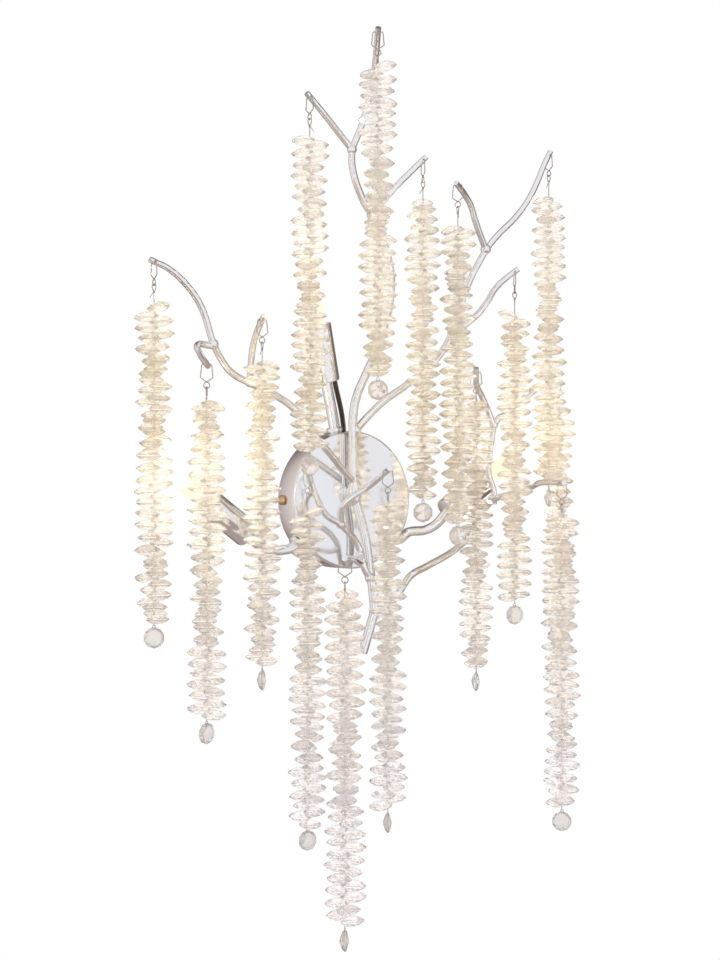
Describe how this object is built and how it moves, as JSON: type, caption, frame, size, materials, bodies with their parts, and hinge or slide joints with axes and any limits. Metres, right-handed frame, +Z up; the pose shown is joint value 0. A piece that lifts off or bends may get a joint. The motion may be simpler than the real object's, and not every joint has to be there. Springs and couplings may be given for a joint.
{
  "type": "crystal wall sconce",
  "caption": "Wall lamp of forked chrome tubes on a round canopy, with capsule lamps in cups and long strands of faceted glass beads hung from the twig tips by wire clips.",
  "frame": {"origin": "centre of the canopy's back, on the wall", "axes": "+Y into the wall, +Z up, +X to the right seen from the front"},
  "size_m": [0.4464, 0.217, 0.7285],
  "materials": {
    "chrome": "polished",
    "zinc_steel": "satin",
    "brass": "polished",
    "ceramic": "matt",
    "lamp_glass": "polished",
    "sleeve": "satin",
    "wire": "bright drawn",
    "crystal": "polished"
  },
  "bodies": {
    "fixture": {"mounting_strap": "zinc_steel", "side_screws": "brass", "canopy": "chrome", "centre_fitting": "chrome", "trunk": "chrome", "left_branch": "chrome", "right_branch": "chrome", "lower_branch": "chrome", "front_branch": "chrome", "lamp_arms": "chrome", "arm_nuts": "chrome", "lamp_cups": "chrome", "lampholders": "ceramic", "bulbs": "lamp_glass", "lead_sleeve": "sleeve"},
    "clip_01": {"clip_01": "wire"},
    "strand_01": {"wire_01": "wire", "crystals_01": "crystal"},
    "clip_02": {"clip_02": "wire"},
    "strand_02": {"wire_02": "wire", "crystals_02": "crystal"},
    "clip_03": {"clip_03": "wire"},
    "strand_03": {"wire_03": "wire", "crystals_03": "crystal"},
    "clip_04": {"clip_04": "wire"},
    "strand_04": {"wire_04": "wire", "crystals_04": "crystal"},
    "clip_05": {"clip_05": "wire"},
    "strand_05": {"wire_05": "wire", "crystals_05": "crystal"},
    "clip_06": {"clip_06": "wire"},
    "strand_06": {"wire_06": "wire", "crystals_06": "crystal"},
    "clip_07": {"clip_07": "wire"},
    "strand_07": {"wire_07": "wire", "crystals_07": "crystal"},
    "clip_08": {"clip_08": "wire"},
    "strand_08": {"wire_08": "wire", "crystals_08": "crystal"},
    "clip_09": {"clip_09": "wire"},
    "strand_09": {"wire_09": "wire", "crystals_09": "crystal"},
    "clip_10": {"clip_10": "wire"},
    "strand_10": {"wire_10": "wire", "crystals_10": "crystal"},
    "clip_11": {"clip_11": "wire"},
    "strand_11": {"wire_11": "wire", "crystals_11": "crystal"},
    "clip_12": {"clip_12": "wire"},
    "strand_12": {"wire_12": "wire", "crystals_12": "crystal"},
    "clip_13": {"clip_13": "wire"},
    "strand_13": {"wire_13": "wire", "crystals_13": "crystal"},
    "clip_14": {"clip_14": "wire"},
    "strand_14": {"wire_14": "wire", "crystals_14": "crystal"},
    "clip_15": {"clip_15": "wire"},
    "strand_15": {"wire_15": "wire", "crystals_15": "crystal"}
  },
  "joints": [
    {"name": "clip_01_swing", "type": "hinge", "parent": "fixture", "child": "clip_01", "pos_m": [-0.0425, -0.131, 0.382], "axis": [-0.8944, 0.4472, 0], "range_deg": [-4, 8]},
    {"name": "strand_01_swing", "type": "hinge", "parent": "clip_01", "child": "strand_01", "pos_m": [-0.0425, -0.131, 0.364], "axis": [-0.4472, -0.8944, 0], "range_deg": [-3, 8]},
    {"name": "clip_02_swing", "type": "hinge", "parent": "fixture", "child": "clip_02", "pos_m": [-0.0825, -0.09, 0.332], "axis": [-0.0487, 0.9988, 0], "range_deg": [-4, 2.5]},
    {"name": "strand_02_swing", "type": "hinge", "parent": "clip_02", "child": "strand_02", "pos_m": [-0.0825, -0.09, 0.314], "axis": [-0.9988, -0.0487, 0], "range_deg": [0, 8]},
    {"name": "clip_03_swing", "type": "hinge", "parent": "fixture", "child": "clip_03", "pos_m": [0.028, -0.094, 0.2895], "axis": [-0.2793, -0.9602, 0], "range_deg": [-4, 0.5]},
    {"name": "strand_03_swing", "type": "hinge", "parent": "clip_03", "child": "strand_03", "pos_m": [0.028, -0.094, 0.2715], "axis": [0.9602, -0.2793, 0], "range_deg": [-6.5, 8]},
    {"name": "clip_04_swing", "type": "hinge", "parent": "fixture", "child": "clip_04", "pos_m": [0.058, -0.103, 0.2695], "axis": [-0.4789, 0.8779, 0], "range_deg": [-8, 1]},
    {"name": "strand_04_swing", "type": "hinge", "parent": "clip_04", "child": "strand_04", "pos_m": [0.058, -0.103, 0.2515], "axis": [-0.8779, -0.4789, 0], "range_deg": [-1, 8]},
    {"name": "clip_05_swing", "type": "hinge", "parent": "fixture", "child": "clip_05", "pos_m": [0.174, -0.082, 0.309], "axis": [0, -1, 0], "range_deg": [-2, 2.5]},
    {"name": "strand_05_swing", "type": "hinge", "parent": "clip_05", "child": "strand_05", "pos_m": [0.174, -0.082, 0.291], "axis": [1, 0, 0], "range_deg": [-8, 4.5]},
    {"name": "clip_06_swing", "type": "hinge", "parent": "fixture", "child": "clip_06", "pos_m": [0.127, -0.093, 0.2005], "axis": [-0.4706, -0.8824, 0], "range_deg": [-5, 0]},
    {"name": "strand_06_swing", "type": "hinge", "parent": "clip_06", "child": "strand_06", "pos_m": [0.127, -0.093, 0.1825], "axis": [0.8824, -0.4706, 0], "range_deg": [-8, 0]},
    {"name": "clip_07_swing", "type": "hinge", "parent": "fixture", "child": "clip_07", "pos_m": [-0.208, -0.057, 0.192], "axis": [0, 1, 0], "range_deg": [-4, 8]},
    {"name": "strand_07_swing", "type": "hinge", "parent": "clip_07", "child": "strand_07", "pos_m": [-0.208, -0.057, 0.174], "axis": [-1, 0, 0], "range_deg": [-8, 4.5]},
    {"name": "clip_08_swing", "type": "hinge", "parent": "fixture", "child": "clip_08", "pos_m": [-0.1205, -0.078, 0.148], "axis": [-0.9988, 0.0499, 0], "range_deg": [-7.5, 7]},
    {"name": "strand_08_swing", "type": "hinge", "parent": "clip_08", "child": "strand_08", "pos_m": [-0.1205, -0.078, 0.13], "axis": [-0.0499, -0.9988, 0], "range_deg": [-7, 4]},
    {"name": "clip_09_swing", "type": "hinge", "parent": "fixture", "child": "clip_09", "pos_m": [-0.176, -0.086, 0.1095], "axis": [-0.9762, 0.2169, 0], "range_deg": [-8, 8]},
    {"name": "strand_09_swing", "type": "hinge", "parent": "clip_09", "child": "strand_09", "pos_m": [-0.176, -0.086, 0.0915], "axis": [-0.2169, -0.9762, 0], "range_deg": [-5.5, 8]},
    {"name": "clip_10_swing", "type": "hinge", "parent": "fixture", "child": "clip_10", "pos_m": [-0.071, -0.068, 0.025], "axis": [-0.3162, 0.9487, 0], "range_deg": [-8, 7]},
    {"name": "strand_10_swing", "type": "hinge", "parent": "clip_10", "child": "strand_10", "pos_m": [-0.071, -0.068, 0.007], "axis": [-0.9487, -0.3162, 0], "range_deg": [-8, 7]},
    {"name": "clip_11_swing", "type": "hinge", "parent": "fixture", "child": "clip_11", "pos_m": [-0.024, -0.118, 0.0255], "axis": [-0.9899, 0.1414, 0], "range_deg": [-6.5, 8]},
    {"name": "strand_11_swing", "type": "hinge", "parent": "clip_11", "child": "strand_11", "pos_m": [-0.024, -0.118, 0.0075], "axis": [-0.1414, -0.9899, 0], "range_deg": [-6.5, 8]},
    {"name": "clip_12_swing", "type": "hinge", "parent": "fixture", "child": "clip_12", "pos_m": [-0.119, -0.201, -0.042], "axis": [-0.8058, 0.5922, 0], "range_deg": [-8, 8]},
    {"name": "strand_12_swing", "type": "hinge", "parent": "clip_12", "child": "strand_12", "pos_m": [-0.119, -0.201, -0.06], "axis": [-0.5922, -0.8058, 0], "range_deg": [-8, 8]},
    {"name": "clip_13_swing", "type": "hinge", "parent": "fixture", "child": "clip_13", "pos_m": [0.137, -0.146, 0.015], "axis": [-0.9899, 0.1414, 0], "range_deg": [-8, 8]},
    {"name": "strand_13_swing", "type": "hinge", "parent": "clip_13", "child": "strand_13", "pos_m": [0.137, -0.146, -0.003], "axis": [-0.1414, -0.9899, 0], "range_deg": [-8, 8]},
    {"name": "clip_14_swing", "type": "hinge", "parent": "fixture", "child": "clip_14", "pos_m": [0.1145, -0.053, 0.114], "axis": [-0.7809, 0.6247, 0], "range_deg": [-1, 2.5]},
    {"name": "strand_14_swing", "type": "hinge", "parent": "clip_14", "child": "strand_14", "pos_m": [0.1145, -0.053, 0.096], "axis": [-0.6247, -0.7809, 0], "range_deg": [-0.5, 2]},
    {"name": "clip_15_swing", "type": "hinge", "parent": "fixture", "child": "clip_15", "pos_m": [0.2065, -0.055, 0.1065], "axis": [-0.1483, -0.9889, 0], "range_deg": [-8, 8]},
    {"name": "strand_15_swing", "type": "hinge", "parent": "clip_15", "child": "strand_15", "pos_m": [0.2065, -0.055, 0.0885], "axis": [0.9889, -0.1483, 0], "range_deg": [-8, 8]}
  ]
}
